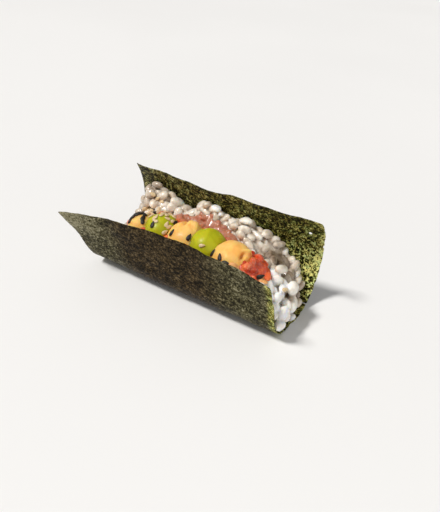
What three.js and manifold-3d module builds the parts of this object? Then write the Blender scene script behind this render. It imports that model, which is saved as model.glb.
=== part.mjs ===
// Open-style temaki hand roll: a quarter sheet of toasted nori bent into a trough and filled with
// sushi rice, a strip of chopped tuna, and a row of piped dollops of chilli and avocado mayonnaise
// under sesame seeds. Millimetres, +Z up. +X runs along the roll, and -Y is the front.
import * as THREE from "three";
import { mergeVertices } from "three/addons/utils/BufferGeometryUtils.js";
import Module from "manifold-3d";

const wasm = await Module();
wasm.setup();

// ---------------------------------------------------------------- driving dimensions

// The sheet: its length runs along the roll, and its girth goes round it.
const NORI = { length: 95, girth: 105, thickness: 0.5, bendRadius: 14, flatHalf: 4 };

// How the trough stands at its left end, middle and right end. Lean is outwards from upright, and
// curl is the further turn from the bend to the free edge, inwards where it is positive (degrees).
const FRONT_FLAP = { lean: [22, 8, 11], curl: [-11, -2, -14] };
const REAR_FLAP = { lean: [11, -2, 32], curl: [43, 29, 79] };
const FRONT_GIRTH = [47.9, 47.6, 46.5]; // from the middle of the bottom to the front edge
const BOTTOM_Y = [0, 0.8, 2.1]; // the bottom's own sideways drift
const SKEW = { left: 4.6, right: 1.3 }; // how far each end runs on towards the rear edge
const WAVE = { height: 0.55, startsAt: 18 }; // ripple of the free flaps, above this girth
const RIPPLES = [{ share: 0.6, turns: 2.7, climb: 0 }, { share: 0.4, turns: 4.9, climb: 0.09 }];

const GAP = 0.3; // clearance between neighbours
const CUT_GAP = 1.3 * GAP; // the shift of a cutting copy, so that slanted faces keep the gap too

// A level bed of rice in front, and a ridge of mounds against the rear flap.
const RICE = { bed: 24.5, ridge: 28, bedEnds: 3, front: -28, rear: 24 };
const RIDGE_STARTS = { left: 13.5, right: 9, turnsIn: [4, 20] }; // where the slope from the bed ends
const RICE_MOUNDS = [
  { x: -31, rise: 7, spread: 8 },
  { x: 0, rise: 8.5, spread: 7.5 },
  { x: 16.5, rise: 5, spread: 5.5 },
];
// The heap runs down to its two ends: round is the exponent of the fall, steep that of its last part.
const RICE_LEFT = { from: -28, to: -46, round: 1.6, steep: 2.2, slant: 0.25 };
const RICE_RIGHT = { from: 20, to: 47, round: [4, 2], steep: [1.8, 1.2] }; // at the front, at the rear
const GRAIN_HALF = [2.9, 1.5, 1.3];
const PIP_LIFT = 0.5; // how far the middle of a grain stands out of the heap
const GRAINS = { spacing: 6, tries: 5000, front: -19, rear: 17, lowest: 3.5, steepest: 3.2 };

// The strip of tuna, the bulge of its rear edge over the middle, and its lumps.
const TUNA = { left: -34.5, right: 38, front: -15.5, rear: 1.2, height: 3.6, endTaper: 0.5 };
const TUNA_BULGE = { x: -2, reach: 8, spread: 19 };
const TUNA_LUMPS = { size: 4.8, relief: 3 };
const TUNA_CHUNK = { x: 32, rise: 3.8, spread: 5 }; // the larger heap at the right end

// Each dollop: its middle, its half width along and across the roll, its height above the middle,
// and the bearing, elevation and length of its pulled tip.
const DOLLOPS = [
  { name: "dollop_chilli_1", at: [-24.8, -7.3, 24.6], half: [6.3, 6.8], up: 6.4, tip: [200, 70, 0.5] },
  { name: "dollop_avocado_1", at: [-15, -6, 26], half: [7.2, 7.8], up: 8, tip: [0, 90, 0.4] },
  { name: "dollop_chilli_2", at: [-2, -6, 26.3], half: [8.6, 8.4], up: 7.8, tip: [60, 62, 0.9] },
  { name: "dollop_avocado_2", at: [8.6, -5.8, 26.7], half: [8.2, 8.4], up: 8, tip: [0, 90, 0.3] },
  { name: "dollop_chilli_3", at: [21.3, -7.5, 25.7], half: [8.7, 8.7], up: 8.9, tip: [10, 48, 0.4] },
];
const DOLLOP_FOOT = 5; // depth of a dollop below its middle, before its bed cuts it
const TIP_WIDTH = 17; // degrees

// Sesame seeds, by the dollop they lie on: bearing and elevation seen from its middle, then spin.
const SEED_HALF = [1.75, 1.05, 0.5];
const SEED_LIFT = 0.2;
const SEEDS = {
  dollop_chilli_1: [
    [244, 56, 50],
    [218, 72, 20],
    [126, 58, 60],
    [73, 56, 120],
    [5, 64, 80],
    [180, 40, 100],
    [150, 30, 20],
  ],
  dollop_avocado_1: [[265, 49, 60], [330, 30, 20]],
  dollop_chilli_2: [[244, 42, 60], [320, 41, 70], [207, 70, 100], [165, 50, 30]],
  dollop_avocado_2: [[282, 37, 10]],
  dollop_chilli_3: [[217, 28, 30], [260, 36, 95], [286, 28, 150]],
};
// More seeds over the top of one dollop, in a sunflower spiral out to this angle from its top.
const SEED_HEAP = { on: "dollop_avocado_1", count: 13, reach: 58, turn: 137.5, spin: 73 };
const RICE_SEEDS = [[-35, 9, 30], [-31.5, 7, 110], [-38, 6.5, 70]]; // x, y and spin

// ---------------------------------------------------------------- small helpers

const radians = THREE.MathUtils.degToRad;
const { smoothstep, lerp, clamp } = THREE.MathUtils;

// A value given at the left end, middle and right end, read at t from 0 to 1.
const along = ([a, b, c], t) => a * (1 - t) * (1 - 2 * t) + 4 * b * t * (1 - t) + c * t * (2 * t - 1);

// A repeatable number from 0 to 1 for a pair of whole numbers.
function hash(i, j) {
  const h = Math.sin(i * 127.1 + j * 311.7) * 43758.5453;
  return h - Math.floor(h);
}

// A seeded stream of numbers from 0 to 1.
function randomStream(seed) {
  let state = seed;
  return () => {
    state = (Math.imul(state, 1664525) + 1013904223) >>> 0;
    return state / 4294967296;
  };
}

function toManifold(geometry) {
  const bare = geometry.clone();
  bare.deleteAttribute("normal");
  bare.deleteAttribute("uv");
  const merged = mergeVertices(bare, 1e-4);
  return new wasm.Manifold(
    new wasm.Mesh({
      numProp: 3,
      vertProperties: new Float32Array(merged.attributes.position.array),
      triVerts: new Uint32Array(merged.index.array),
    }),
  );
}

function toGeometry(solid) {
  const mesh = solid.getMesh();
  const geometry = new THREE.BufferGeometry();
  geometry.setAttribute("position", new THREE.BufferAttribute(new Float32Array(mesh.vertProperties), 3));
  geometry.setIndex(new THREE.BufferAttribute(new Uint32Array(mesh.triVerts), 1));
  return geometry;
}

// The largest single body of a solid, without the crumbs that a cut can leave.
function largestBody(solid) {
  const bodies = solid.decompose();
  return bodies.reduce((best, body) => (body.volume() > best.volume() ? body : best));
}

// A closed solid between two grids of points: upper(u, v) and lower(u, v), with u and v from 0 to 1.
function gridSolid(columns, rows, upper, lower) {
  const positions = [];
  for (const face of [upper, lower])
    for (let i = 0; i <= columns; i++)
      for (let j = 0; j <= rows; j++) positions.push(...face(i / columns, j / rows));
  const half = (columns + 1) * (rows + 1);
  const top = (i, j) => i * (rows + 1) + j;
  const base = (i, j) => half + top(i, j);
  const index = [];
  const quad = (a, b, c, d) => index.push(a, b, c, a, c, d);
  for (let i = 0; i < columns; i++)
    for (let j = 0; j < rows; j++) {
      quad(top(i, j), top(i + 1, j), top(i + 1, j + 1), top(i, j + 1));
      index.push(base(i, j), base(i + 1, j + 1), base(i + 1, j));
      index.push(base(i, j), base(i, j + 1), base(i + 1, j + 1));
    }
  for (let i = 0; i < columns; i++) {
    quad(base(i, 0), base(i + 1, 0), top(i + 1, 0), top(i, 0));
    quad(top(i, rows), top(i + 1, rows), base(i + 1, rows), base(i, rows));
  }
  for (let j = 0; j < rows; j++) {
    quad(top(0, j), top(0, j + 1), base(0, j + 1), base(0, j));
    quad(base(columns, j), base(columns, j + 1), top(columns, j + 1), top(columns, j));
  }
  const geometry = new THREE.BufferGeometry();
  geometry.setAttribute("position", new THREE.Float32BufferAttribute(positions, 3));
  geometry.setIndex(index);
  return geometry;
}

// ---------------------------------------------------------------- the nori trough

// The sheet at t (0 left to 1 right) and girth s (0 at the bottom, negative to the front, positive to
// the rear), moved inwards by inset.
function troughPoint(t, s, inset) {
  const side = s < 0 ? -1 : 1;
  const flap = s < 0 ? FRONT_FLAP : REAR_FLAP;
  const turn = radians(90 - along(flap.lean, t));
  const front = along(FRONT_GIRTH, t);
  const reach = s < 0 ? front : NORI.girth - front;
  const bend = NORI.bendRadius * turn;
  const stretches = [
    { length: NORI.flatHalf, turn: 0 },
    { length: bend, turn },
    { length: reach - NORI.flatHalf - bend, turn: radians(along(flap.curl, t)) },
  ];
  let left = Math.abs(s);
  let angle = 0;
  let y = 0;
  let z = 0;
  for (const stretch of stretches) {
    const run = Math.min(left, stretch.length);
    const turned = (stretch.turn * run) / stretch.length;
    const chord = Math.abs(turned) < 1e-9 ? run : ((2 * run) / turned) * Math.sin(turned / 2);
    y += chord * Math.cos(angle + turned / 2);
    z += chord * Math.sin(angle + turned / 2);
    angle += turned;
    left -= run;
    if (left <= 0) break;
  }
  const free = smoothstep(Math.abs(s), WAVE.startsAt, reach);
  const ripples = RIPPLES.map((r) => r.share * Math.sin(2 * Math.PI * r.turns * t + r.climb * s + side));
  const inwards = inset + WAVE.height * free * (ripples[0] + ripples[1]);
  y -= inwards * Math.sin(angle);
  z += inwards * Math.cos(angle);
  const share = s < 0 ? s / front : s / (NORI.girth - front);
  const x = NORI.length * (t - 0.5) + lerp(SKEW.left, SKEW.right, t) * share;
  return [x, along(BOTTOM_Y, t) + side * y, z];
}

const NORI_CELLS = [24, 34]; // facets along the roll and round it

const girthAt = (t, v) => lerp(-along(FRONT_GIRTH, t), NORI.girth - along(FRONT_GIRTH, t), v);

function makeNori() {
  const inner = (u, v) => troughPoint(u, girthAt(u, v), NORI.thickness);
  const outer = (u, v) => troughPoint(u, girthAt(u, v), 0);
  return toManifold(gridSolid(...NORI_CELLS, inner, outer));
}

// The room inside the trough, up to a flat lid from edge to edge.
function makeRoom() {
  const lid = (u, v) => {
    const a = troughPoint(u, girthAt(u, 0), NORI.thickness + GAP);
    const b = troughPoint(u, girthAt(u, 1), NORI.thickness + GAP);
    return [lerp(a[0], b[0], v), lerp(a[1], b[1], v), lerp(a[2], b[2], v) + 0.5];
  };
  const skin = (u, v) => troughPoint(u, girthAt(u, v), NORI.thickness + GAP);
  return toManifold(gridSolid(...NORI_CELLS, lid, skin));
}

// ---------------------------------------------------------------- the rice

// Height of the rice at x and y.
function riceTop(x, y) {
  const turnedIn = smoothstep(x, ...RIDGE_STARTS.turnsIn);
  const back = smoothstep(y, RICE.bedEnds - 1.5 * turnedIn, lerp(RIDGE_STARTS.left, RIDGE_STARTS.right, turnedIn));
  const bump = RICE_MOUNDS.reduce((sum, m) => sum + m.rise * Math.exp(-(((x - m.x) / m.spread) ** 2)), 0);
  const level = lerp(RICE.bed, RICE.ridge + bump, back);
  const slanted = x + RICE_LEFT.slant * (y - RICE.bedEnds);
  const toLeft = clamp((RICE_LEFT.from - slanted) / (RICE_LEFT.from - RICE_LEFT.to), 0, 1);
  const toRight = clamp((x - RICE_RIGHT.from) / (RICE_RIGHT.to - RICE_RIGHT.from), 0, 1);
  const left = (1 - toLeft ** RICE_LEFT.round) ** (1 / RICE_LEFT.steep);
  const right = (1 - toRight ** lerp(...RICE_RIGHT.round, back)) ** (1 / lerp(...RICE_RIGHT.steep, back));
  return level * left * right;
}

// Steps along x that crowd together at the two steep ends.
function riceX(u) {
  const even = 0.5 - 0.5 * Math.cos(Math.PI * u);
  return lerp(RICE_LEFT.to, RICE_RIGHT.to, lerp(u, even, 0.75));
}

function makeRiceCore(room) {
  const y = (v) => lerp(RICE.front, RICE.rear, v);
  const upper = (u, v) => [riceX(u), y(v), riceTop(riceX(u), y(v)) + 0.2];
  const lower = (u, v) => [riceX(u), y(v), -0.1];
  return toManifold(gridSolid(26, 13, upper, lower)).intersect(room);
}

// Unit normal of the rice surface.
function riceNormal(x, y) {
  const step = 0.2;
  const dx = (riceTop(x + step, y) - riceTop(x - step, y)) / (2 * step);
  const dy = (riceTop(x, y + step) - riceTop(x, y - step)) / (2 * step);
  return new THREE.Vector3(-dx, -dy, 1).normalize();
}

// A grain or seed on a point: an ellipsoid, its long axis turned by spin about the normal.
function pip(half, point, normal, spin, lift) {
  const shape = new THREE.SphereGeometry(1, 5, 4).rotateZ(Math.PI / 2).scale(...half);
  const level = new THREE.Quaternion().setFromUnitVectors(new THREE.Vector3(0, 0, 1), normal);
  const turned = new THREE.Quaternion().setFromAxisAngle(new THREE.Vector3(0, 0, 1), spin);
  shape.applyQuaternion(level.multiply(turned));
  const centre = point.clone().addScaledVector(normal, lift);
  shape.translate(centre.x, centre.y, centre.z);
  return toManifold(shape);
}

// Grains spread evenly over the bare rice, none of them crossing what lies on it.
function makeGrains(toppings) {
  const random = randomStream(11);
  const placed = [];
  const grains = [];
  for (let tries = 0; tries < GRAINS.tries; tries++) {
    const x = lerp(RICE_LEFT.to, RICE_RIGHT.to, random());
    const y = lerp(GRAINS.front, GRAINS.rear, random());
    const normal = riceNormal(x, y);
    const spin = random() * Math.PI;
    const steepness = 1 / normal.z / GRAINS.steepest;
    const point = new THREE.Vector3(x, y, riceTop(x, y));
    if (random() > steepness || point.z < GRAINS.lowest) continue;
    if (placed.some((other) => other.distanceTo(point) < GRAINS.spacing)) continue;
    const grain = pip(GRAIN_HALF, point, normal, spin, PIP_LIFT);
    if (!grain.intersect(toppings).isEmpty()) continue;
    placed.push(point);
    grains.push(grain);
  }
  return grains;
}

// ---------------------------------------------------------------- the chopped tuna

// Rounded pieces about one cell across: 1 on top of a piece, 0 between them.
function lumps(x, y, cell) {
  const ci = Math.floor(x / cell);
  const cj = Math.floor(y / cell);
  let best = 0;
  for (let i = ci - 1; i <= ci + 1; i++)
    for (let j = cj - 1; j <= cj + 1; j++) {
      const px = (i + 0.25 + 0.5 * hash(i, j)) * cell;
      const py = (j + 0.25 + 0.5 * hash(j + 57, i)) * cell;
      best = Math.max(best, 1 - (Math.hypot(x - px, y - py) / (0.8 * cell)) ** 2);
    }
  return best;
}

// The tuna at u along the strip and v across it, both from 0 to 1: its place, its bed and its top.
function tunaPoint(u, v) {
  const lengthways = Math.abs(2 * u - 1);
  const across = 2 * v - 1;
  const x = lerp(TUNA.left, TUNA.right, u);
  const rear = TUNA.rear + TUNA_BULGE.reach * Math.exp(-(((x - TUNA_BULGE.x) / TUNA_BULGE.spread) ** 4));
  const halfWidth = ((rear - TUNA.front) / 2) * (1 - TUNA.endTaper * lengthways ** 6);
  const y = (TUNA.front + rear) / 2 + halfWidth * across;
  const chunk = TUNA_CHUNK.rise * Math.exp(-(((x - TUNA_CHUNK.x) / TUNA_CHUNK.spread) ** 2));
  const round = Math.max(0, 1 - lengthways ** 8 - Math.abs(across) ** 3) ** 0.5;
  const relief = TUNA_LUMPS.relief * (lumps(x, y, TUNA_LUMPS.size) - 0.5);
  const bed = riceTop(x, y);
  return { x, y, bed, top: bed + Math.max(0.8, round * (TUNA.height + chunk + relief)) };
}

function makeTuna(riceCore) {
  const face = (height) => (u, v) => {
    const point = tunaPoint(u, v);
    return [point.x, point.y, height(point)];
  };
  const strip = toManifold(gridSolid(32, 11, face(({ top }) => top), face(({ bed }) => bed - 3)));
  return largestBody(strip.subtract(riceCore.translate([0, 0, GAP])));
}

// ---------------------------------------------------------------- the dollops

// Direction of a bearing in the part's frame: azimuth from +X towards +Y, elevation above level.
function direction(azimuth, elevation) {
  const a = radians(azimuth);
  const e = radians(elevation);
  return new THREE.Vector3(Math.cos(e) * Math.cos(a), Math.cos(e) * Math.sin(a), Math.sin(e));
}

// The dollop's skin in a direction from its middle, with grow added all round.
function dollopPoint(dollop, way, grow) {
  const [halfX, halfY] = dollop.half;
  const halfZ = way.z > 0 ? dollop.up : DOLLOP_FOOT;
  const radius = 1 / Math.hypot(way.x / halfX, way.y / halfY, way.z / halfZ);
  const [azimuth, elevation, length] = dollop.tip;
  const away = way.angleTo(direction(azimuth, elevation)) / radians(TIP_WIDTH);
  const pulled = length * Math.exp(-(away ** 2));
  return way.clone().multiplyScalar(radius + grow + pulled).add(new THREE.Vector3(...dollop.at));
}

function dollopBlob(dollop, grow) {
  const shape = new THREE.SphereGeometry(1, 16, 9).rotateX(Math.PI / 2);
  const skin = shape.getAttribute("position");
  for (let i = 0; i < skin.count; i++) {
    const way = new THREE.Vector3().fromBufferAttribute(skin, i).normalize();
    skin.setXYZ(i, ...dollopPoint(dollop, way, grow).toArray());
  }
  return toManifold(shape);
}

function seedOn(dollop, azimuth, elevation, spin) {
  const way = direction(azimuth, elevation);
  const point = dollopPoint(dollop, way, 0);
  return pip(SEED_HALF, point, way, radians(spin), SEED_LIFT);
}

function seedsOf(dollop) {
  const seeds = SEEDS[dollop.name].map((bearing) => seedOn(dollop, ...bearing));
  if (dollop.name !== SEED_HEAP.on) return seeds;
  for (let k = 0; k < SEED_HEAP.count; k++) {
    const fromTop = SEED_HEAP.reach * Math.sqrt((k + 0.5) / SEED_HEAP.count);
    seeds.push(seedOn(dollop, k * SEED_HEAP.turn, 90 - fromTop, k * SEED_HEAP.spin));
  }
  return seeds;
}

// ---------------------------------------------------------------- assembly

const finishes = {
  nori: new THREE.MeshStandardMaterial({ color: 0x23261a, roughness: 0.55, side: THREE.DoubleSide }),
  rice: new THREE.MeshStandardMaterial({ color: 0xd9d4c8, roughness: 0.35 }),
  tuna: new THREE.MeshStandardMaterial({ color: 0xc4452c, roughness: 0.3 }),
  chilli: new THREE.MeshStandardMaterial({ color: 0xf2b564, roughness: 0.35 }),
  avocado: new THREE.MeshStandardMaterial({ color: 0x9aa91d, roughness: 0.3 }),
};

const roll = new THREE.Group();

function place(name, solid, finish) {
  const mesh = new THREE.Mesh(toGeometry(solid), finish);
  mesh.name = name;
  roll.add(mesh);
}

// A solid widened by a little more than the gap.
function widened(solid) {
  const nudges = [-CUT_GAP, CUT_GAP].flatMap((d) => [[d, 0, 0], [0, d, 0], [0, 0, d]]);
  return wasm.Manifold.union([solid, ...nudges.map((nudge) => solid.translate(nudge))]);
}

// The pieces that stay clear of an obstacle and of each other.
function clearOf(obstacle, pieces) {
  let taken = obstacle;
  return pieces.filter((piece) => {
    if (!piece.intersect(taken).isEmpty()) return false;
    taken = taken.add(widened(piece));
    return true;
  });
}

const room = makeRoom();
const riceCore = makeRiceCore(room);
const tuna = makeTuna(riceCore);
const support = widened(tuna).add(riceCore.translate([0, 0, GAP]));

// Each dollop gives way to the next one, and its seeds keep off all the others.
const bareDollops = DOLLOPS.map((dollop, i) => {
  const next = DOLLOPS.slice(i + 1, i + 2).map((neighbour) => dollopBlob(neighbour, CUT_GAP));
  return largestBody(dollopBlob(dollop, 0).subtract(wasm.Manifold.union([support, ...next])));
});
const dollops = DOLLOPS.map((dollop, i) => {
  const others = wasm.Manifold.union(bareDollops.filter((_, k) => k !== i).map(widened));
  const seeds = clearOf(others.add(support), seedsOf(dollop));
  return largestBody(wasm.Manifold.union([bareDollops[i], ...seeds]));
});

const toppings = wasm.Manifold.union([tuna, ...dollops].map(widened));
const riceSeeds = RICE_SEEDS.map(([x, y, spin]) => {
  const point = new THREE.Vector3(x, y, riceTop(x, y));
  return pip(SEED_HALF, point, riceNormal(x, y), radians(spin), PIP_LIFT);
});
const heap = wasm.Manifold.union([riceCore, ...makeGrains(toppings), ...clearOf(toppings, riceSeeds)]);

place("nori_wrap", makeNori(), finishes.nori);
place("rice", largestBody(heap.intersect(room)), finishes.rice);
place("tuna", tuna, finishes.tuna);
DOLLOPS.forEach(({ name }, i) => place(name, dollops[i], finishes[name.split("_")[1]]));

// The origin is the middle of the box under the roll.
const box = new THREE.Box3().setFromObject(roll);
const middle = box.getCenter(new THREE.Vector3());
roll.position.set(-middle.x, -middle.y, -box.min.z);

export default roll;
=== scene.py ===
"""Looks of an open temaki hand roll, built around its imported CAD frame.

Lengths are in millimetres in the roll's own frame (X along the roll, Y to the rear, Z up, the
origin under its middle) until a mesh is made, and in metres after that.
"""
import itertools
import math

import bpy
import numpy as np
from mathutils import Matrix, Vector
from mathutils.bvhtree import BVHTree
from mathutils.kdtree import KDTree


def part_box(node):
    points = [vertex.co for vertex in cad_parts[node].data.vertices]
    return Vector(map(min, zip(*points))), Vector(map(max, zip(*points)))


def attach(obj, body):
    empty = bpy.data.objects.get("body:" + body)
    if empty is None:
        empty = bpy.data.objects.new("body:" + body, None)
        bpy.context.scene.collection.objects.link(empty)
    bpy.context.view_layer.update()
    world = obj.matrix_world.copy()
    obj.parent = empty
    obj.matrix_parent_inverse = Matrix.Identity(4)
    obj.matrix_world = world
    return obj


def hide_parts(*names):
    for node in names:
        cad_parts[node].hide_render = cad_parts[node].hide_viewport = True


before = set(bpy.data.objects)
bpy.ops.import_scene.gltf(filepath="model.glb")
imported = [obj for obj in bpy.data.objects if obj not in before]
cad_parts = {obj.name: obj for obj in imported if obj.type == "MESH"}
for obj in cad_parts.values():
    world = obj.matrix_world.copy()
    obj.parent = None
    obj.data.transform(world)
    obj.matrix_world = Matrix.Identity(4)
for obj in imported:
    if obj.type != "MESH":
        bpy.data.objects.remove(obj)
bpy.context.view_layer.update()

MM = 0.001
rng = np.random.default_rng(7)

# ---------------- driving dimensions

# The nori trough, as in the CAD: values at its left end, middle and right end, angles in degrees.
SHEET_LENGTH = 95.0
SHEET_GIRTH = 105.0
BEND_RADIUS = 14.0
FLAT_HALF = 4.0
FRONT_FLAP = {"lean": (22, 8, 11), "curl": (-11, -2, -14)}
REAR_FLAP = {"lean": (11, -2, 32), "curl": (43, 29, 79)}
FRONT_GIRTH = (47.9, 47.6, 46.5)
BOTTOM_Y = (0, 0.8, 2.1)
SKEW = (4.6, 1.3)  # how far each end runs on towards the rear edge
WAVE_HEIGHT = 0.55
WAVE_FROM = 18.0  # the girth that the ripple of the free flaps starts at
RIPPLES = ((0.6, 2.7, 0.0), (0.4, 4.9, 0.09))  # share, turns along the roll, climb
CAD_CELLS = (24, 34)

SHEET_CELLS = (216, 236)
SHEET_FACES = (0.04, 0.32)  # depth of the outer and inner face, inwards from the CAD's outer face
CRINKLES = ((0.28, 9, 21), (0.16, 3.6, 22), (0.07, 1.5, 23))  # height, size, seed of the noise
CUT_WEAR = {"left": (3, 0.5), "right": (8, 0.9), "front": (13, 0.4), "rear": (18, 0.4)}  # seed, depth
TORN_MARGIN = 2.6  # how far in from the right edge the sheet is torn
PINHOLE = {"pixel": (310.5, 233.5), "radius": 0.72}

GRAIN_HALF = (3.2, 2.05, 1.75)
GRAIN_REACH = 1.2  # how far the outer two of a grain's three balls lie from its middle
BALL = 1.4  # radius of those balls
WALL_ROOM = 1.95  # least room from a grain's axis to the nori
GRAIN_KINDS = 9
GRAIN_ENDS = 1.4  # how far from its middle a grain's own tone reaches along it
CORE_REMESH = (0.9, 14)  # voxel and rounds of smoothing
RICE_REMESH = (0.28, 3)
RICE_TRIANGLES = 190000
# Layers of grains: depth under the heap's surface, its relief, spacing, most grains, least noise.
RICE_LAYERS = (
    {"depth": 1.2, "relief": 0.6, "spacing": 2.6, "most": 900, "patches": -9},
    {"depth": -0.1, "relief": 0.5, "spacing": 3.6, "most": 160, "patches": 0.1},
)
RICE_TRIES = 14000  # places tried for each layer
# Settling: how far a grain moves and turns by what its balls lack, the most that it may lack in
# the end, and how many balls are compared with all others at a time.
SETTLE = {"move": 0.16, "turn": 0.05, "lack": 0.3, "batch": 600}
TOPPING_REACH = 14  # how far over a grain a topping still covers it
NORI_ROOM = 1.4  # least room from a grain's first place to the nori
GRAIN_CLEARANCE = 0.12  # least room from a settled grain's skin to the nori
# The clump behind the tuna that painted shade greys: its middle and half widths.
SHADED_CLUMP = {"at": (36, 8.5), "half": (8.5, 6.5)}
# How far the heap is drawn in at its left and near ends, with the stretch over which that grows, at
# the near end's foot and in the shaded clump: its core, and the grains on it.
CORE_SINK = {"left": (2.8, 35, 42), "near": (1.8, 37, 42), "foot": 1.2, "clump": -0.3}
GRAIN_SINK = {"left": (3.6, 35, 42), "near": (-0.6, 38, 43), "foot": 3.0, "clump": 1.2}
# Swells and dips of the heap between its clumps: middle, half widths and height.
RICE_SWELLS = (
    {"at": (-6, 12), "half": (7, 7), "rise": 1.6},
    {"at": (17, 12), "half": (5, 6), "rise": 0.8},
    {"at": (9, 15), "half": (2.5, 6), "rise": -1.1},
    {"at": (26.5, 10), "half": (3, 6), "rise": -1.1},
    {"at": (-15.5, 14), "half": (4, 7), "rise": -1.3},
)

# The dollops: CAD node, middle, level half sizes, height over the middle, and the tip's bearing,
# elevation and length.
DOLLOPS = tuple(
    dict(zip(("node", "at", "half", "up", "tip"), row))
    for row in (
        ("dollop_chilli_1", (-24.8, -7.3, 24.6), (6.3, 6.8), 6.4, (200, 70, 0.5)),
        ("dollop_avocado_1", (-15.0, -6.0, 26.0), (7.2, 7.8), 8.0, (0, 90, 0.4)),
        ("dollop_chilli_2", (-2.0, -6.0, 26.3), (8.6, 8.4), 7.8, (60, 62, 0.9)),
        ("dollop_avocado_2", (8.6, -5.8, 26.7), (8.2, 8.4), 8.0, (0, 90, 0.3)),
        ("dollop_chilli_3", (21.3, -7.5, 25.7), (8.7, 8.7), 8.9, (10, 48, 0.4)),
    )
)
# Soft marks on the dollops where the squeezed cream folded over: bearing and elevation from the
# middle, turn of the long way, half lengths along and across it in degrees, and height.
FOLDS = {
    "dollop_chilli_1": ((250, 60, 20, 26, 9, -0.35),),
    "dollop_chilli_2": (
        (140, 76, 60, 20, 7, -0.9), (200, 70, 90, 20, 14, 0.5), (95, 74, 40, 10, 9, 0.7),
        (10, 62, 20, 22, 8, 0.5), (-20, 52, 70, 20, 6, -0.5),
    ),
    "dollop_chilli_3": ((-16, 47, 30, 13, 6, -1.7), (12, 49, 120, 11, 5, 1.5), (8, 36, 60, 12, 7, 0.3)),
    "dollop_avocado_1": ((200, 50, 0, 24, 12, 0.3),),
    "dollop_avocado_2": ((-60, 60, 30, 34, 12, 0.25), (150, 60, 40, 30, 14, -0.25)),
}
DOLLOP_FOOT = 5.0
TIP_WIDTH = 17.0  # degrees
DOLLOP_SWELLS = ((0.34, 5.5, 61), (0.14, 2.6, 62), (0.035, 1.1, 63))  # height, size, seed of the noise

# The chopped bits of tuna: their least and most half sizes, and their spacing.
TUNA_BITS = {"least": (1.7, 1.2, 0.8), "most": (2.9, 2.1, 1.5), "spacing": 2.9, "tries": 6000, "count": 400}
TUNA_REMESH = (0.3, 3)
TUNA_TRIANGLES = 150000

SEED_LIFT = 0.22  # how far a seed's middle stands over what it lies on
# Seeds by where they show in the reference view: pixel, and the turn of the long axis there.
BLACK_SEEDS = (
    (172.1, 232.6, 55), (188.9, 237.2, 60), (175.3, 222.9, 30), (152.8, 224.4, 80), (213.0, 252.9, 32),
    (219.8, 257.3, 95), (226.0, 263.2, -12), (260.7, 276.5, 20), (155.3, 212.9, 40),
    (130.6, 220.4, 75), (132.0, 218.0, 40), (134.8, 215.6, 50), (137.9, 214.4, 15), (141.0, 213.7, 30),
    (144.0, 214.4, 100), (143.2, 217.8, 70), (142.5, 221.0, 95),
)
WHITE_SEEDS = (
    (145.3, 208.4, 30), (148.7, 209.8, 70), (151.4, 210.4, 120), (158.9, 210.2, 80), (147.8, 214.4, 70),
    (149.9, 212.3, 40), (151.2, 216.3, 15), (156.6, 216.8, 80), (155.3, 221.3, 160), (154.0, 218.6, 100),
    (165.2, 211.9, 10), (163.6, 213.8, 25), (170.3, 214.8, 140), (167.4, 218.8, 170), (172.6, 221.4, 30),
    (166.6, 224.4, 60), (168.9, 226.9, 20), (164.7, 232.3, 30), (160.7, 211.6, 110), (152.6, 214.4, 130),
    (152.6, 194.2, 150), (158.0, 198.4, 20), (161.5, 201.6, 160), (202.1, 245.6, 4), (161.8, 215.2, 60),
    (167.0, 215.4, 60), (157.4, 213.4, 10), (173.2, 217.0, 100), (285.2, 289.6, 15),
)
# Drops and crumbs of chilli mayonnaise beside the dollops, by pixel, with their radius.
DROPS = (
    (233.2, 266.3, 1.5), (236.6, 268.4, 1.1), (230.4, 265.2, 1.0), (261.4, 281.6, 1.6), (264.2, 282.6, 1.2),
)

# Colours from deep to light, roughness and sheen of the two creams.
CREAMS = {
    "chilli_mayonnaise": ((0.94, 0.47, 0.11), (0.97, 0.57, 0.17), 0.5, 0.06),
    "avocado_mayonnaise": ((0.42, 0.42, 0.006), (0.50, 0.50, 0.010), 0.42, 0.07),
}
# Half sizes, dark and light colour, and roughness of the seeds.
SEEDS = {
    "sesame_black": ((1.75, 0.85, 0.42), (0.004, 0.003, 0.002), (0.026, 0.018, 0.012), 0.5),
    "sesame_white": ((1.5, 0.82, 0.42), (0.62, 0.42, 0.20), (0.80, 0.66, 0.42), 0.4),
}

# Colours of the nori's inner face from shade to light, dull, olive and lime, and where they stand.
NORI_STOPS = (0.44, 0.49, 0.53, 0.58, 0.65)
NORI_INSIDE = (
    (
        (0.006, 0.004, 0.002), (0.030, 0.021, 0.009), (0.090, 0.070, 0.036),
        (0.20, 0.17, 0.10), (0.44, 0.40, 0.28),
    ),
    (
        (0.004, 0.004, 0.001), (0.022, 0.018, 0.004), (0.085, 0.072, 0.012),
        (0.25, 0.22, 0.040), (0.80, 0.74, 0.25),
    ),
    (
        (0.003, 0.004, 0.001), (0.018, 0.020, 0.004), (0.070, 0.082, 0.014),
        (0.21, 0.24, 0.05), (0.66, 0.74, 0.30),
    ),
)
# The camera that the reference view was taken from, in the roll's own frame.
CAMERA = {"at": (104.25, -156.04, 145.52), "azimuth": 30.81, "elevation": 34.55, "roll": 3.53}
IMAGE = (440, 512)
FOCAL_PIXELS = 519.34

FLOOR_HALF = 3000
FLOOR_LEVEL = -0.05
# The two suns: where they stand, strength, degrees across, colour.
SUNS = {
    "key": ((-0.42, -0.50, 1.0), 2.8, 10, (1.0, 0.975, 0.94)),
    "fill": ((0.8, -0.5, 0.7), 0.42, 60, (0.98, 0.98, 1.0)),
}
# How bright the surroundings are, by height over the horizon (0 level, 1 overhead), and their tint.
WORLD_LEVELS = ((0.0, 0.80), (0.13, 0.70), (0.42, 0.20), (1.0, 0.24))
WORLD_TINT = (1.0, 0.99, 0.97)

# ---------------- numbers


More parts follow.
